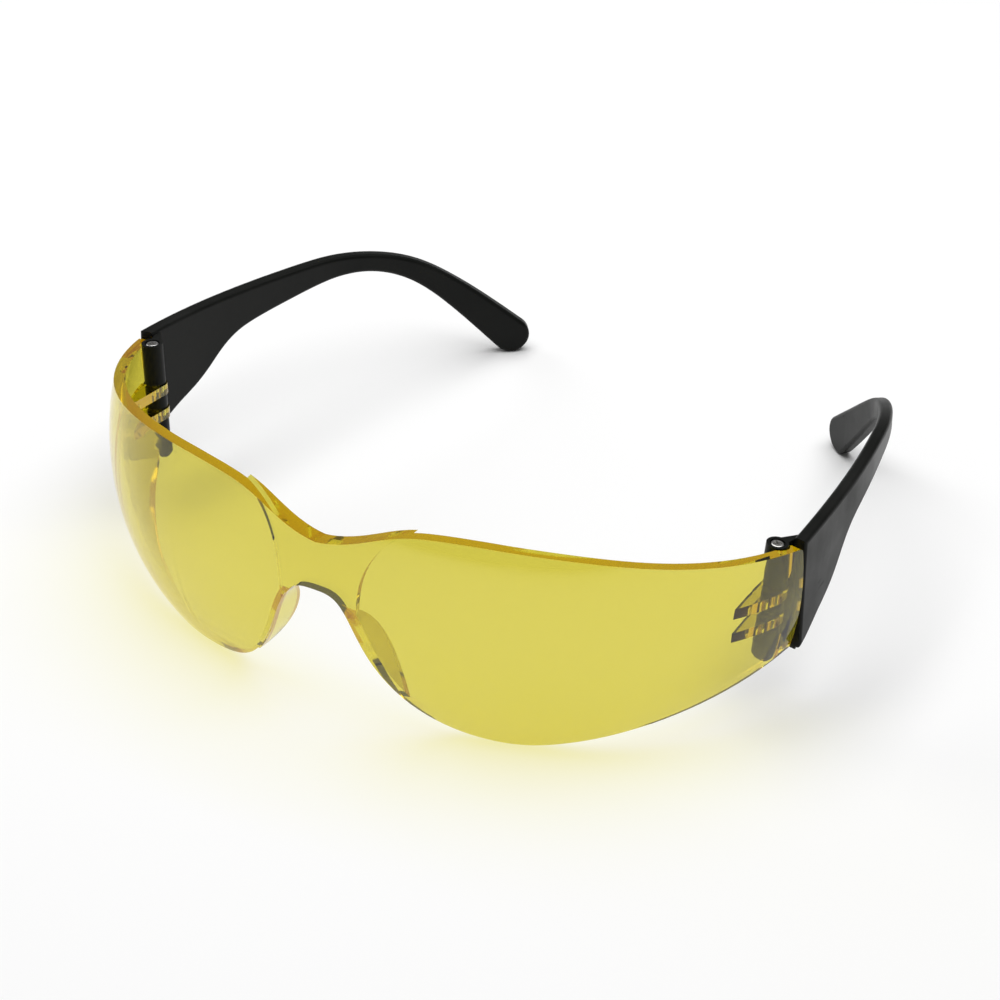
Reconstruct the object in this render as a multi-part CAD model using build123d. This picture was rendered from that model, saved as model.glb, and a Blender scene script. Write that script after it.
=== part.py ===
from build123d import *
import os
from math import sin, cos, radians, degrees, atan2

# Safety glasses: a one-piece wrap-round lens, two folding arms and two hinge screws.
# Millimetres. X to the viewer's right, Y from the front of the lens to the ear hooks, Z up.
# Everything is drawn for the +X side and mirrored. Heights are drawn above the lens's lobes. At the
# end the glasses are tipped back a little, so that both lobes and both arm tips touch the table.

# ---- Lens shield ----
lens_width = 140.6          # across the two rear ends
lens_wall = 2.1
bridge_wall = 3.2           # thicker wall between the two vision zones
corner_radius = 47.0        # plan radius where the shield turns back
side_radius = 58.0          # plan radius along the side of the face
front_turn = 15.6           # degrees of turn in each plan arc, from the middle outwards
corner_turn = 28.0
side_turn = 36.4
belly_radius = 50.0         # curvature from top to bottom
belly_height = 28.5         # height of the foremost line of that curve
end_corner_radius = 1.0     # rounding of the rear end's upper corner

# Top edge: share of the half wrap, height
top_edge = [(0.0, 37.2), (0.09, 39.3), (0.17, 42.0), (0.27, 43.1), (0.38, 43.2), (0.53, 42.1),
            (0.68, 39.8), (0.85, 37.1), (1.0, 35.0)]
# Nose cut-out: distance from the middle, height
nose_edge = [(0.0, 28.1), (3.6, 27.6), (7.4, 22.6), (10.2, 16.2), (14.4, 9.4)]
# Lobe and side: share of the half wrap, height
lobe_edge = [(0.215, 3.9), (0.29, 0.7), (0.37, 0.0), (0.47, 1.4), (0.6, 4.0), (0.79, 8.7), (1.0, 14.2)]
# Edge of the thick bridge, on the back: distance from the middle, height
bridge_edge = [(7.6, 22.0), (7.9, 27.0), (8.7, 32.0), (11.0, 37.0), (15.3, 41.3), (24.0, 43.6)]

# ---- Nose wings ----
wing_wall = 1.7
wing_depth = 5.4            # how far the wing stands behind the lens at its widest
wing_top = 26.2             # height of its two ends
wing_foot = 7.4

# ---- Hinge ----
# The axis leans with the side wall, and the barrel lies in a shallow channel in its inner face.
hinge_shares = (0.955, 0.97)    # shares of the half wrap of the barrel's foot and top
barrel_radius = 2.0
barrel_gap = 0.3            # between the barrel and the lens
barrel_bite = 0.7           # how far the barrel is let into the wall at its foot and top
barrel_top = 35.9
barrel_foot = 13.2
barrel_foot_radius = 0.8    # rounding of the barrel's foot
lug_thickness = 2.0
lug_heights = [26.8, 22.0]  # middle of each lens lug
lug_lip = 0.25              # of the lug's eye past the barrel
lug_root = (0.812, 0.95)    # shares of the half wrap where each lug joins the wall
lug_clearance = 0.2         # above and below each lug, and round its eye
screw_radius = 0.8
screw_clearance = 0.05      # radial, in the lugs and in the barrel
screw_head_radius = 1.25
screw_head_height = 0.8
screw_seat_depth = 0.9
screw_seat_gap = 0.15       # radial, round the head
screw_floor = 1.0           # solid barrel left below the screw hole
screw_end_gap = 0.3         # left below the screw
crown_radius = 0.3          # rounding of the screw head's rim
recess_width = 0.36
recess_length = 1.5
recess_depth = 0.45

# ---- Arms ----
arm_wall = 2.6
arm_gap = 0.3               # behind the lens's rear end
arm_length = 94.5           # along the outer face
arm_lead = 0.508 * arm_length   # the gently bowed front part
arm_curl = 0.413 * arm_length   # the part that curls behind the ear
arm_headings = [5.0, 15.0, 52.0]   # inward heading at the front, after the lead, after the curl
arm_edge_radius = 0.7
arm_tip_rounding = 0.46     # radius of the hook's end, as a share of its width there
arm_tip = (0.984, 6.4)      # end of the hook: share of the length, height
web_reach = 4.2             # how far along the arm the return flange joins it
web_setback = 0.3           # of the return flange's front behind the arm's
web_drop = 0.3              # of the return flange's top below the barrel's
web_lip = 0.5               # of the return flange's foot above the barrel's
web_angle = 35.0            # degrees from straight back to where the flange leaves the barrel
# Upper and lower edges: share of the length, height
arm_top = [(0.0, 36.3), (0.12, 36.0), (0.25, 35.3), (0.42, 34.1), (0.55, 32.9), (0.65, 31.0),
           (0.75, 27.6), (0.84, 22.3), (0.92, 16.6), (1.0, 10.5)]
arm_foot = [(0.0, 14.5), (0.08, 17.5), (0.14, 19.8), (0.18, 22.0), (0.215, 24.4), (0.26, 26.5),
            (0.32, 27.5), (0.42, 28.2), (0.53, 28.7), (0.63, 27.7), (0.73, 23.8), (0.82, 16.9),
            (0.91, 8.4), (1.0, 0.0)]

# ---- Worked out from the above ----
turns = [radians(front_turn), radians(corner_turn), radians(side_turn)]
turn_1 = turns[0]
turn_2 = turn_1 + turns[1]
turn_3 = turn_2 + turns[2]
front_radius = (lens_width / 2 - corner_radius * (sin(turn_2) - sin(turn_1))
                - side_radius * (sin(turn_3) - sin(turn_2))) / sin(turn_1)
lens_radii = [front_radius, corner_radius, side_radius]
half_wrap = sum(r * t for r, t in zip(lens_radii, turns))
settling_steps = 6          # of tipping back until lobes and arm tips both touch
overrun = 3.0               # that cutters and bands reach past what they shape
band_foot, band_top = -overrun, max(z for _, z in top_edge) + overrun
lug_eye_radius = barrel_radius + lug_lip
root_steps = 8              # steps along a lug's root
cutter_steps = 60           # steps along a trimming outline
tall = 60.0                 # taller than any piece
base = (Align.CENTER, Align.CENTER, Align.MIN)


def wrap_point(along, height, inset):
    """A point on the lens's plan curve, `along` it from the middle, set in towards the face."""
    heading, corner = 0.0, (0.0, 0.0)
    left = along
    for number, (radius, turn) in enumerate(zip(lens_radii, turns)):
        last = number == len(turns) - 1
        step = left / radius if last or left < radius * turn else turn
        x = corner[0] + radius * (sin(heading + step) - sin(heading))
        y = corner[1] + radius * (cos(heading) - cos(heading + step))
        heading, corner, left = heading + step, (x, y), left - radius * step
        if left <= 0:
            break
    return (x - inset * sin(heading), y + inset * cos(heading), height)


def belly(height):
    """How far the lens's front has curved back at a height."""
    return belly_radius - (belly_radius**2 - (height - belly_height) ** 2) ** 0.5


def lens_point(along, height, depth):
    """A point `depth` behind the lens's front face."""
    return wrap_point(along, height, belly(height) + depth)


def arm_heading(along):
    """Inward heading of the arm's outer face, in radians."""
    front, lead, curl = arm_headings
    if along <= arm_lead:
        return radians(front + (lead - front) * along / arm_lead)
    return radians(lead + (curl - lead) * min((along - arm_lead) / arm_curl, 1.0))


def arm_point(along, height, inset):
    """A point on the arm's outer face, set in towards the head."""
    x, y, _ = arm_start
    bounds = [0.0, arm_lead, arm_lead + arm_curl, arm_length + tall]
    for low, high in zip(bounds, bounds[1:]):
        span = min(along, high) - low
        if span <= 0 and low > 0:
            break
        start, end = arm_heading(low), arm_heading(low + span)
        if abs(end - start) < 1e-9:
            x, y = x - span * sin(start), y + span * cos(start)
        else:
            radius = span / (end - start)
            x, y = x - radius * (cos(start) - cos(end)), y + radius * (sin(end) - sin(start))
    heading = arm_heading(along)
    return (x - inset * cos(heading), y - inset * sin(heading), height)


def spread(points, length, overrun):
    """Outline points with shares turned into lengths, carried on past both ends."""
    scaled = [(share * length, height) for share, height in points]
    (x_0, z_0), (x_1, z_1) = scaled[-2:]
    return scaled + [(x_1 + overrun, z_1 + (z_1 - z_0) / (x_1 - x_0) * overrun)]


def ruled_face(outline, place, near, far):
    """A face that stands on an outline, ruled from one inset to another."""
    curve = Spline(*outline)
    spots = [curve @ (i / cutter_steps) for i in range(cutter_steps + 1)]
    edges = [Edge.make_spline([place(p.X, p.Y, inset) for p in spots]) for inset in (near, far)]
    return Face.make_surface_from_curves(edges[0], edges[1])


def trim(solid, outline, place, near, far, up):
    """Cut away what lies beyond an outline: above it, or below it."""
    cutter = extrude(ruled_face(outline, place, near, far), tall, dir=(0, 0, 1 if up else -1))
    return solid - cutter


def lens_band(radius, turn, centre, heading, outer, inner):
    """A band of the shield, swept about one plan arc's centre between two depths."""
    axis = radius - belly_radius
    walls = []
    for depth in (outer, inner):
        r = belly_radius - depth
        reach = [axis + (r**2 - (z - belly_height) ** 2) ** 0.5 for z in (band_foot, band_top)]
        ends = [(reach[0], 0, band_foot), (axis + r, 0, belly_height), (reach[1], 0, band_top)]
        walls.append(ThreePointArc(*ends))
    closing = [Line(walls[0] @ k, walls[1] @ k) for k in (0, 1)]
    face = make_face(walls + closing)
    band = revolve(face, Axis.Z, degrees(turn))
    return Pos(*centre) * Rot(0, 0, degrees(heading) - 90) * band


def make_lens():
    """Half of the shield with its bridge, wing and lugs, then mirrored into one piece."""
    centre, heading = (0.0, front_radius, 0.0), 0.0
    shell = None
    for number, (radius, turn) in enumerate(zip(lens_radii, turns)):
        if number:
            drop = lens_radii[number - 1] - radius
            centre = (centre[0] + drop * sin(heading), centre[1] - drop * cos(heading), 0.0)
        band = lens_band(radius, turn, centre, heading, 0.0, lens_wall)
        shell = band if shell is None else shell + band
        heading += turn
    pad = lens_band(front_radius, turns[0], (0, front_radius, 0), 0.0, lens_wall / 2, bridge_wall)
    side = Spline(*[(x, 0, z) for x, z in bridge_edge])
    back = Polyline(side @ 1, (-1, 0, tall), (-1, 0, 0), (bridge_edge[0][0], 0, 0), side @ 0)
    pad = pad & extrude(make_face([side, back]), tall, dir=(0, 1, 0))
    shell = shell + pad

    deepest = belly(band_foot) + bridge_wall + overrun
    above = [(-overrun, top_edge[0][1])] + spread(top_edge, half_wrap, overrun)
    below = [(-overrun, nose_edge[0][1])] + nose_edge + spread(lobe_edge, half_wrap, overrun)
    shell = trim(shell, above, wrap_point, -overrun, deepest, True)
    shell = trim(shell, below, wrap_point, -overrun, deepest, False)
    rear_end = shell.faces().sort_by(Axis(wrap_point(half_wrap, 0, 0), (cos(turn_3), sin(turn_3), 0)))[-1]
    corner = rear_end.edges().sort_by(Axis.Z)[-1]
    return fillet(corner, end_corner_radius)


def make_wing():
    """The leaf-shaped flange behind the nose cut-out's edge, which rests on the nose."""
    edge = [(x, z) for x, z in nose_edge] + spread(lobe_edge, half_wrap, 0.0)[:2]
    wall = ruled_face(edge, lens_point, lens_wall / 4, wing_depth + overrun * lens_wall)
    wing = extrude(wall, wing_wall, dir=(1, 0, 0))
    middle = (wing_top + wing_foot) / 2
    ends = [(0, belly(z) + lens_wall, z) for z in (wing_top, wing_foot)]
    bulge = (0, belly(middle) + lens_wall + wing_depth, middle)
    leaf = ThreePointArc(ends[0], bulge, ends[1])
    front = Polyline(leaf @ 1, (0, -overrun, wing_foot), (0, -overrun, wing_top), leaf @ 0)
    return wing & extrude(make_face([leaf, front]), tall, dir=(1, 0, 0))


def axis_point(height):
    """The point of the hinge's axis at a height."""
    return hinge_foot + hinge_axis * ((height - barrel_foot) / hinge_axis.Z)


def make_lug(level):
    """A flat gusset from the side wall to an eye round the hinge screw, square to the hinge's axis."""
    first, last = lug_root
    shares = [first + (last - first) * i / root_steps for i in range(root_steps + 1)]
    height = barrel_foot + level
    spots = [hinge_plane.to_local_coords(Vector(lens_point(share * half_wrap, height, lens_wall / 2)))
             for share in shares]
    root = Spline(*[(spot.X, spot.Y, 0) for spot in spots])
    sides = Polyline(root @ 1, (0, 0, 0), (-lug_eye_radius, 0, 0), root @ 0)
    plate = extrude(make_face([root, sides]), lug_thickness, dir=(0, 0, 1))
    eye = Cylinder(lug_eye_radius, lug_thickness, align=base)
    hole = Cylinder(screw_radius + screw_clearance, lug_thickness, align=base)
    return hinge_place * Pos(0, 0, level - lug_thickness / 2) * (plate + eye - hole)


def web_outline(height):
    """Section of the flange that runs from the barrel, behind the lens's end, into the arm's wall."""
    centre = axis_point(height)
    tangent = barrel_radius * sin(radians(web_angle))
    rise = barrel_radius * cos(radians(web_angle))
    inner_face = belly(height) + lens_wall + barrel_gap
    behind = arm_gap + web_setback
    front = [(x + behind * cos(turn_3), y + behind * sin(turn_3))
             for x, y, _ in (wrap_point(half_wrap, 0, inset) for inset in (arm_wall / 2, inner_face))]
    corners = [(centre.X - tangent, centre.Y + rise), arm_point(web_reach, 0, arm_wall / 2)[:2], *front,
               (centre.X + barrel_radius / 2, centre.Y), (centre.X, centre.Y)]
    return Pos(0, 0, height) * make_face(Polyline(*corners, close=True))


def make_arm():
    """An arm: bowed strip cut to its side outline, return flange and knuckled barrel."""
    joins = [0.0, arm_lead, arm_lead + arm_curl, arm_length + overrun]
    walls = []
    for inset in (0.0, arm_wall):
        for low, high in zip(joins, joins[1:]):
            ends = [arm_point(u, 0, inset) for u in (low, (low + high) / 2, high)]
            straight = arm_heading(low) == arm_heading(high)
            walls.append(Line(ends[0], ends[2]) if straight else ThreePointArc(*ends))
    closing = [Line(walls[0] @ 0, walls[3] @ 0), Line(walls[2] @ 1, walls[5] @ 1)]
    arm = extrude(make_face(walls + closing), tall, dir=(0, 0, 1))
    for outline, up in ((arm_top, True), (arm_foot, False)):
        lead_in = [(-overrun, outline[0][1])]
        outline = lead_in + spread(outline, arm_length, 2 * overrun)
        arm = trim(arm, outline, arm_point, -arm_wall / 2, 1.5 * arm_wall, up)
    share, height = arm_tip
    x, y, z = arm_point(share * arm_length, height, 0)
    falls = [(edge[-2][1] - edge[-1][1]) / (edge[-1][0] - edge[-2][0]) for edge in (arm_top, arm_foot)]
    heading, slope = arm_heading(arm_length), atan2(sum(falls) / 2, arm_length)
    along = Vector(-sin(heading) * cos(slope), cos(heading) * cos(slope), -sin(slope))
    end = Plane(origin=(x, y, z), z_dir=along)
    arm = split(arm, bisect_by=end, keep=Keep.BOTTOM)
    tip = arm.faces().sort_by(Axis(end.origin, end.z_dir))[-1]
    corners = tip.edges().sort_by(Axis.Z)
    tip_width = (corners[-1].center() - corners[0].center()).length
    arm = fillet([corners[0], corners[-1]], arm_tip_rounding * tip_width)
    arm = fillet([e for e in arm.edges() if e.length > 2 * arm_wall], arm_edge_radius)
    front = Plane(origin=arm_start, z_dir=(cos(turn_3), sin(turn_3), 0))
    arm = split(arm, bisect_by=front, keep=Keep.TOP)

    web = loft([web_outline(barrel_foot + web_lip), web_outline(barrel_top - web_drop)], ruled=True)
    barrel = Cylinder(barrel_radius, barrel_length, align=base)
    barrel = fillet(barrel.edges().sort_by(Axis.Z)[0], barrel_foot_radius)
    arm = arm + web + hinge_place * barrel

    slot_height = lug_thickness + 2 * lug_clearance
    eye_room = lug_eye_radius + lug_clearance
    for level in lug_levels:
        eye = Cylinder(eye_room, slot_height)
        ahead = Box(2 * tall, tall, slot_height, align=(Align.CENTER, Align.MAX, Align.CENTER))
        arm = arm - hinge_place * Pos(0, 0, level) * (eye + ahead)
    hole = Cylinder(screw_radius + screw_clearance, barrel_length, align=base)
    seat = Cylinder(screw_head_radius + screw_seat_gap, screw_seat_depth, align=base)
    arm = arm - hinge_place * Pos(0, 0, screw_floor) * hole
    return arm - hinge_place * Pos(0, 0, barrel_length - screw_seat_depth) * seat


def make_screw():
    """A pan-head screw with a cross recess, its head sunk in the top of the barrel."""
    head_foot = barrel_length - screw_seat_depth
    shank_foot = screw_floor + screw_end_gap
    shank = Cylinder(screw_radius, head_foot - shank_foot, align=base)
    head = Cylinder(screw_head_radius, screw_head_height, align=base)
    crown = head.edges().filter_by(GeomType.CIRCLE).sort_by(Axis.Z)[-1]
    head = fillet(crown, crown_radius)
    for turn in (45, 135):
        slot = Box(recess_length, recess_width, recess_depth, align=(Align.CENTER, Align.CENTER, Align.MAX))
        head = head - Pos(0, 0, screw_head_height) * Rot(0, 0, turn) * slot
    return hinge_place * (Pos(0, 0, head_foot) * head + Pos(0, 0, shank_foot) * shank)


def lowest(shape, tilt):
    """The lowest point of a shape once the glasses are tipped back by an angle in degrees."""
    return shape.rotate(Axis.X, -tilt).bounding_box().min.Z


stand_off = lens_wall + barrel_radius - barrel_bite
hinge_foot, hinge_head = [Vector(lens_point(share * half_wrap, height, stand_off))
                          for share, height in zip(hinge_shares, (barrel_foot, barrel_top))]
hinge_axis = (hinge_head - hinge_foot).normalized()
barrel_length = (hinge_head - hinge_foot).length
hinge_plane = Plane(origin=hinge_foot, x_dir=(hinge_axis.Z, 0, -hinge_axis.X), z_dir=hinge_axis)
hinge_place = hinge_plane.location
lug_levels = [(height - barrel_foot) / hinge_axis.Z for height in lug_heights]
end_x, end_y, _ = wrap_point(half_wrap, 0, 0)
arm_start = (end_x + arm_gap * cos(turn_3), end_y + arm_gap * sin(turn_3), 0)

channel = Cylinder(barrel_radius + barrel_gap, barrel_length + 2 * overrun, align=base)
half_lens = make_lens() - hinge_place * Pos(0, 0, -overrun) * channel + make_wing()
for lug_level in lug_levels:
    half_lens = half_lens + make_lug(lug_level)
arm = make_arm()
screw = make_screw()
parts = {
    "lens": half_lens + mirror(half_lens, Plane.YZ),
    "right_temple": arm,
    "left_temple": mirror(arm, Plane.YZ),
    "right_hinge_screw": screw,
    "left_hinge_screw": mirror(screw, Plane.YZ),
}

# Set down on its lobes and arm tips: tipped back until both touch, then moved over the origin.
tilt = 0.0
for _ in range(settling_steps):
    gap = lowest(arm, tilt) - lowest(half_lens, tilt)
    tilt += degrees(atan2(gap, arm_length))
boxes = [shape.rotate(Axis.X, -tilt).bounding_box() for shape in parts.values()]
middle_y = (min(b.min.Y for b in boxes) + max(b.max.Y for b in boxes)) / 2
floor_z = min(b.min.Z for b in boxes)
place = Pos(0, -middle_y, -floor_z) * Rot(-tilt, 0, 0)

os.makedirs("parts", exist_ok=True)
for name, shape in parts.items():
    shape = place * shape
    box = shape.bounding_box()
    print(name, len(shape.solids()), shape.is_valid, round(shape.volume, 1), box)
    export_step(shape, f"parts/{name}.step")
middle = (place * Pos(*((hinge_foot + hinge_head) / 2))).position
heading = Vector(*hinge_axis).rotate(Axis.X, -tilt)
print("right hinge at", middle, "axis", heading)
print("tipped back", round(tilt, 3), "front radius", round(front_radius, 2), "shift", middle_y, floor_z)
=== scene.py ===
import math

import bmesh
import bpy
from mathutils import Matrix, Vector

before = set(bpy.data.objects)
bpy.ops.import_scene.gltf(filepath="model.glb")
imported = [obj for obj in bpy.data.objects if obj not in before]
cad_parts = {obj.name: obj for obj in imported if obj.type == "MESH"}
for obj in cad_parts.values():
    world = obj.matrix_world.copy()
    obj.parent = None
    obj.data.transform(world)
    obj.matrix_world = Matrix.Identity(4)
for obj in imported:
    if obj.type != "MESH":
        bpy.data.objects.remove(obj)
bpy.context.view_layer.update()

# ---- Lens shield ----
# One wrap-round shield of clear yellow polycarbonate, injection moulded with its nose wings
# and hinge lugs and dipped in a hard coat. Its edges glow golden, partly from light traced far inside
# and partly from a painted glow: an emission that stands in for light caught inside.
lens_index = 1.585
lens_skin = (0.71, 0.64, 0.105)        # colour that the two faces let by
lens_depth_tint = (0.95, 0.90, 0.0)    # colour that the thickness lets by
lens_depth_density = 170.0             # per metre
lens_shade = (0.97, 0.97, 0.97)        # what the faces let by of the light that falls on the table
painted_edge_glow = (0.76, 0.62, 0.10)         # painted glow: emitted colour that stands in for light caught inside and leaving at the edges
glow_after = 7.0                       # times that it has met a face by then
light_bounces = 12                     # enough to follow light along a rim
lens_roughness = (0.012, 0.04)         # clean, smeared
lens_smears = 45.0                     # scales of the smears and of the scratches
lens_scratches = 1400.0
lens_coat_ripple = 0.004               # width of the hard coat's faint waves
lens_coat_ripple_height = 0.0000012


def new_material(name):
    """A material with an empty node tree."""
    material = bpy.data.materials.new(name)
    material.use_nodes = True
    material.node_tree.nodes.clear()
    return material


def add_node(tree, kind, **values):
    """A new node of this kind, with its properties and its input sockets set by name."""
    node = tree.nodes.new(kind)
    for name, value in values.items():
        if hasattr(node, name):
            setattr(node, name, value)
        else:
            node.inputs[name.replace("_", " ")].default_value = value
    return node


def make_handling_group():
    """Wear that every moulded or plated surface here shares: soft smears and fine wiping scratches."""
    group = bpy.data.node_groups.new("handling_wear", "ShaderNodeTree")
    sockets = group.interface
    for name in ("Smear Scale", "Scratch Scale", "Smooth", "Rough"):
        sockets.new_socket(name, in_out="INPUT", socket_type="NodeSocketFloat")
    for name in ("Roughness", "Smear", "Scratch"):
        sockets.new_socket(name, in_out="OUTPUT", socket_type="NodeSocketFloat")
    enter = group.nodes.new("NodeGroupInput")
    leave = group.nodes.new("NodeGroupOutput")
    place = add_node(group, "ShaderNodeTexCoord")
    smear = add_node(group, "ShaderNodeTexNoise", Detail=4.0, Roughness=0.55)
    stretch = add_node(group, "ShaderNodeMapping", Rotation=(0.5, 0.35, 0.8), Scale=(1.0, 0.05, 1.0))
    scratch = add_node(group, "ShaderNodeTexNoise", Detail=2.0)
    thin = add_node(group, "ShaderNodeMapRange", From_Min=0.66, From_Max=0.74)
    spread = add_node(group, "ShaderNodeMapRange", From_Min=0.35, From_Max=0.7)
    both = add_node(group, "ShaderNodeMath", operation="MAXIMUM")
    rough = add_node(group, "ShaderNodeMapRange")
    link = group.links.new
    link(place.outputs["Object"], smear.inputs["Vector"])
    link(place.outputs["Object"], stretch.inputs["Vector"])
    link(stretch.outputs["Vector"], scratch.inputs["Vector"])
    link(enter.outputs["Smear Scale"], smear.inputs["Scale"])
    link(enter.outputs["Scratch Scale"], scratch.inputs["Scale"])
    link(smear.outputs["Fac"], spread.inputs["Value"])
    link(scratch.outputs["Fac"], thin.inputs["Value"])
    link(spread.outputs["Result"], both.inputs[0])
    link(thin.outputs["Result"], both.inputs[1])
    link(both.outputs["Value"], rough.inputs["Value"])
    link(enter.outputs["Smooth"], rough.inputs["To Min"])
    link(enter.outputs["Rough"], rough.inputs["To Max"])
    link(rough.outputs["Result"], leave.inputs["Roughness"])
    link(spread.outputs["Result"], leave.inputs["Smear"])
    link(thin.outputs["Result"], leave.inputs["Scratch"])
    return group


handling_wear = make_handling_group()


def wear_node(tree, smear_scale, scratch_scale, smooth, rough):
    """The shared wear with one surface's own values."""
    node = tree.nodes.new("ShaderNodeGroup")
    node.node_tree = handling_wear
    for name, value in (("Smear Scale", smear_scale), ("Scratch Scale", scratch_scale),
                        ("Smooth", smooth), ("Rough", rough)):
        node.inputs[name].default_value = value
    return node


def make_yellow_polycarbonate():
    """Clear tinted plastic: glassy faces, a tint that deepens with thickness, and edges brightened
    partly by a painted glow.

    Light on its way to the table or the arms goes straight through.
    """
    material = new_material("yellow_polycarbonate")
    tree = material.node_tree
    link = tree.links.new
    gloss = add_node(tree, "ShaderNodeBsdfPrincipled", Base_Color=(*lens_skin, 1.0),
                     IOR=lens_index, Transmission_Weight=1.0)
    wear = wear_node(tree, lens_smears, lens_scratches, *lens_roughness)
    place = add_node(tree, "ShaderNodeTexCoord")
    ripple = add_node(tree, "ShaderNodeTexNoise", Scale=1.0 / lens_coat_ripple, Detail=1.0)
    bump = add_node(tree, "ShaderNodeBump", Strength=1.0, Distance=lens_coat_ripple_height)
    shade = add_node(tree, "ShaderNodeBsdfTransparent", Color=(*lens_shade, 1.0))
    # painted glow: an emission that takes the place of the glass on rays that have met more than
    # glow_after faces
    painted_glow = add_node(tree, "ShaderNodeEmission", Color=(*painted_edge_glow, 1.0))
    path = add_node(tree, "ShaderNodeLightPath")
    straight = add_node(tree, "ShaderNodeMath", operation="MAXIMUM")
    long_path = add_node(tree, "ShaderNodeMath", operation="GREATER_THAN")
    long_path.inputs[1].default_value = glow_after
    fill = add_node(tree, "ShaderNodeMixShader")
    choose = add_node(tree, "ShaderNodeMixShader")
    inside = add_node(tree, "ShaderNodeVolumeAbsorption", Color=(*lens_depth_tint, 1.0),
                      Density=lens_depth_density)
    out = add_node(tree, "ShaderNodeOutputMaterial")
    link(wear.outputs["Roughness"], gloss.inputs["Roughness"])
    link(place.outputs["Object"], ripple.inputs["Vector"])
    link(ripple.outputs["Fac"], bump.inputs["Height"])
    link(bump.outputs["Normal"], gloss.inputs["Normal"])
    link(path.outputs["Is Shadow Ray"], straight.inputs[0])
    link(path.outputs["Is Diffuse Ray"], straight.inputs[1])
    link(straight.outputs["Value"], choose.inputs["Fac"])
    link(path.outputs["Ray Depth"], long_path.inputs[0])
    link(long_path.outputs["Value"], fill.inputs["Fac"])
    link(gloss.outputs["BSDF"], fill.inputs[1])
    link(painted_glow.outputs["Emission"], fill.inputs[2])
    link(fill.outputs["Shader"], choose.inputs[1])
    link(shade.outputs["BSDF"], choose.inputs[2])
    link(choose.outputs["Shader"], out.inputs["Surface"])
    link(inside.outputs["Volume"], out.inputs["Volume"])
    return material


def finish_node(node, material):
    """Gives a CAD node its finished material in every slot."""
    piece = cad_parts[node]
    if not piece.material_slots:
        piece.data.materials.append(material)
    for place in piece.material_slots:
        place.material = material


finish_node("lens", make_yellow_polycarbonate())
bpy.context.scene.cycles.max_bounces = light_bounces
bpy.context.scene.cycles.transmission_bounces = light_bounces
bpy.context.scene.cycles.glossy_bounces = light_bounces

# ---- Arms ----
# Two black nylon arms, injection moulded in one piece with their barrels and return flanges.
# The mould is finely etched, so they have a soft sheen that is a little brighter where they are held.
nylon_black = (0.0045, 0.005, 0.0042)
nylon_rubbed = (0.009, 0.0095, 0.0085)
nylon_index = 1.53
nylon_gloss = 0.1
nylon_roughness = (0.3, 0.46)          # untouched, rubbed
nylon_smears = 70.0
nylon_scratches = 1100.0
nylon_grain = 0.00035                  # width of the etched grain
nylon_grain_height = 0.000012
nylon_grain_strength = 0.5


def make_black_nylon():
    """Etched black plastic with faint flow marks and a rubbed sheen."""
    material = new_material("black_nylon")
    tree = material.node_tree
    link = tree.links.new
    plastic = add_node(tree, "ShaderNodeBsdfPrincipled", IOR=nylon_index,
                       Specular_IOR_Level=nylon_gloss)
    wear = wear_node(tree, nylon_smears, nylon_scratches, *nylon_roughness)
    place = add_node(tree, "ShaderNodeTexCoord")
    grain = add_node(tree, "ShaderNodeTexNoise", Scale=1.0 / nylon_grain, Detail=3.0)
    bump = add_node(tree, "ShaderNodeBump", Strength=nylon_grain_strength,
                    Distance=nylon_grain_height)
    colour = add_node(tree, "ShaderNodeMix", data_type="RGBA")
    for socket, value in ((6, nylon_black), (7, nylon_rubbed)):
        colour.inputs[socket].default_value = (*value, 1.0)
    out = add_node(tree, "ShaderNodeOutputMaterial")
    link(wear.outputs["Smear"], colour.inputs["Factor"])
    link(colour.outputs[2], plastic.inputs["Base Color"])
    link(wear.outputs["Roughness"], plastic.inputs["Roughness"])
    link(place.outputs["Object"], grain.inputs["Vector"])
    link(grain.outputs["Fac"], bump.inputs["Height"])
    link(bump.outputs["Normal"], plastic.inputs["Normal"])
    link(plastic.outputs["BSDF"], out.inputs["Surface"])
    return material


black_nylon = make_black_nylon()
for side in ("left", "right"):
    finish_node(f"{side}_temple", black_nylon)

# ---- Hinge screws ----
# Two small cross-recessed steel screws, nickel plated, which each hold an arm's knuckles
# round the lens's two lugs. Their heads sit in the tops of the barrels.
steel = (0.72, 0.71, 0.69)
steel_dull = (0.5, 0.49, 0.47)
steel_roughness = (0.18, 0.38)         # bright, dulled
steel_smears = 900.0
steel_scratches = 6000.0


def make_plated_steel():
    """Nickel plate with faint tool marks."""
    material = new_material("plated_steel")
    tree = material.node_tree
    link = tree.links.new
    metal = add_node(tree, "ShaderNodeBsdfPrincipled", Metallic=1.0)
    wear = wear_node(tree, steel_smears, steel_scratches, *steel_roughness)
    colour = add_node(tree, "ShaderNodeMix", data_type="RGBA")
    for socket, value in ((6, steel), (7, steel_dull)):
        colour.inputs[socket].default_value = (*value, 1.0)
    out = add_node(tree, "ShaderNodeOutputMaterial")
    link(wear.outputs["Smear"], colour.inputs["Factor"])
    link(colour.outputs[2], metal.inputs["Base Color"])
    link(wear.outputs["Roughness"], metal.inputs["Roughness"])
    link(metal.outputs["BSDF"], out.inputs["Surface"])
    return material


plated_steel = make_plated_steel()
for side in ("left", "right"):
    finish_node(f"{side}_hinge_screw", plated_steel)

# ---- Floor, light and camera ----
# A plain white table that runs out of view, under one large soft lamp. A pale room and a small
# lamp on the left fill the shadows.
floor_half = 3.0
floor_colour = (0.9, 0.9, 0.9)
room_light = 0.15


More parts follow.
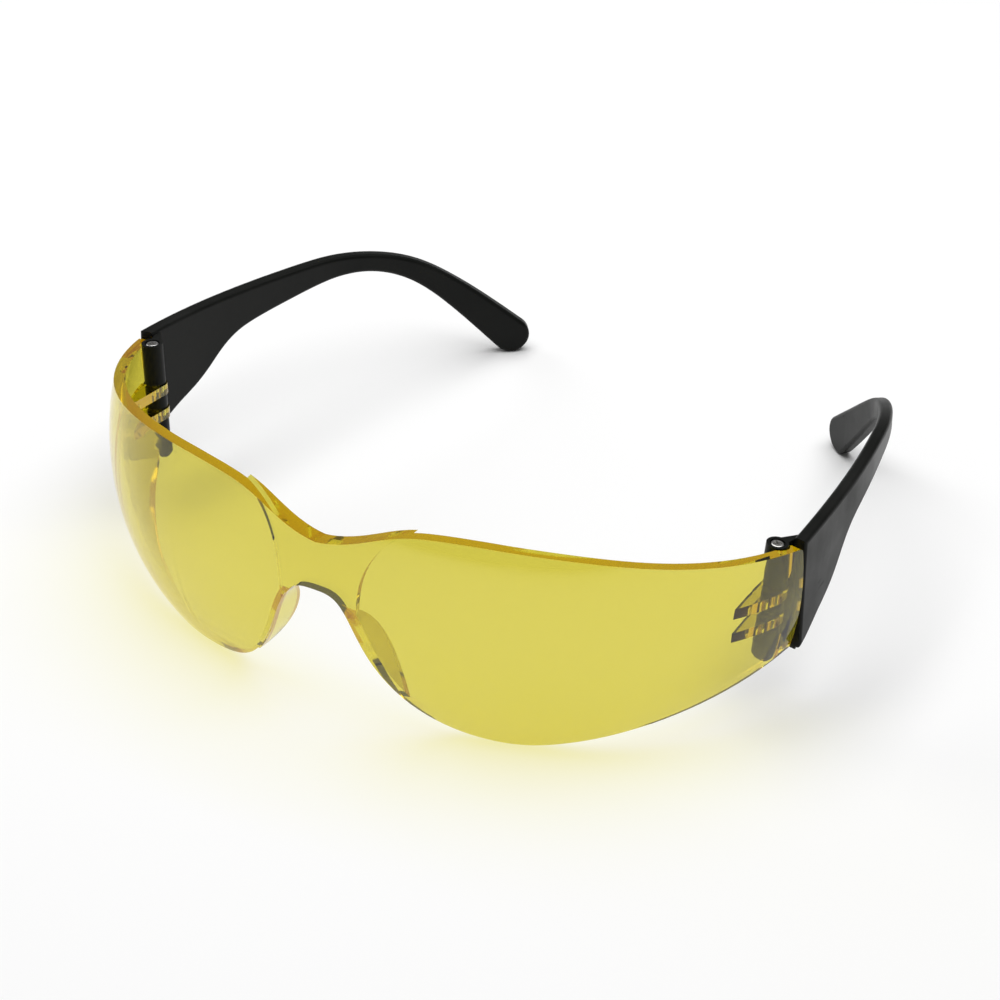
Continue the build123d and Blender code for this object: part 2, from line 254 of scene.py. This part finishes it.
def make_floor():
    """A flat square under the glasses."""
    mesh = bpy.data.meshes.new("floor")
    shape = bmesh.new()
    bmesh.ops.create_grid(shape, x_segments=1, y_segments=1, size=floor_half)
    shape.to_mesh(mesh)
    shape.free()
    floor = bpy.data.objects.new("floor", mesh)
    bpy.context.scene.collection.objects.link(floor)
    material = new_material("white_table")
    tree = material.node_tree
    matt = add_node(tree, "ShaderNodeBsdfDiffuse", Color=(*floor_colour, 1.0))
    out = add_node(tree, "ShaderNodeOutputMaterial")
    tree.links.new(matt.outputs["BSDF"], out.inputs["Surface"])
    mesh.materials.append(material)


make_floor()


def add_lamp(name, place, aim, width, height, power):
    """A soft rectangular lamp that faces a point."""
    lamp = bpy.data.lights.new(name, "AREA")
    lamp.shape = "RECTANGLE"
    lamp.size, lamp.size_y, lamp.energy = width, height, power
    body = bpy.data.objects.new(name, lamp)
    bpy.context.scene.collection.objects.link(body)
    body.location = place
    body.rotation_mode = "QUATERNION"
    body.rotation_quaternion = (Vector(aim) - Vector(place)).to_track_quat("-Z", "Y")


glasses_middle = (0.0, 0.0, 0.02)
add_lamp("overhead", (0.0, 0.1, 1.0), glasses_middle, width=1.3, height=1.3, power=14.2)
add_lamp("left_side", (-0.9, 0.1, 0.5), glasses_middle, width=0.5, height=0.3, power=1.2)

world = bpy.data.worlds.new("pale_room")
bpy.context.scene.world = world
world.use_nodes = True
sky = world.node_tree.nodes["Background"]
sky.inputs["Color"].default_value = (1.0, 1.0, 1.0, 1.0)
sky.inputs["Strength"].default_value = room_light
bpy.context.scene.view_settings.view_transform = "Standard"

view_azimuth = 31.483                  # degrees round from the front, towards +X
view_height = 32.827                   # degrees above the table
view_roll = -0.382
view_distance = 0.8168
view_target = (0.0008, -0.0045, 0.0135)
view_lens = 159.7

camera_data = bpy.data.cameras.new("camera")
camera_data.lens = view_lens
camera_data.sensor_width = 36.0
camera_data.clip_start, camera_data.clip_end = 0.01, 20.0
camera = bpy.data.objects.new("camera", camera_data)
bpy.context.scene.collection.objects.link(camera)
turn = Matrix.Rotation(math.radians(view_azimuth), 4, "Z")
turn = turn @ Matrix.Rotation(math.radians(90.0 - view_height), 4, "X")
turn = turn @ Matrix.Rotation(math.radians(view_roll), 4, "Z")
away = turn @ Vector((0.0, 0.0, view_distance))
camera.matrix_world = Matrix.Translation(Vector(view_target) + away) @ turn
bpy.context.scene.camera = camera
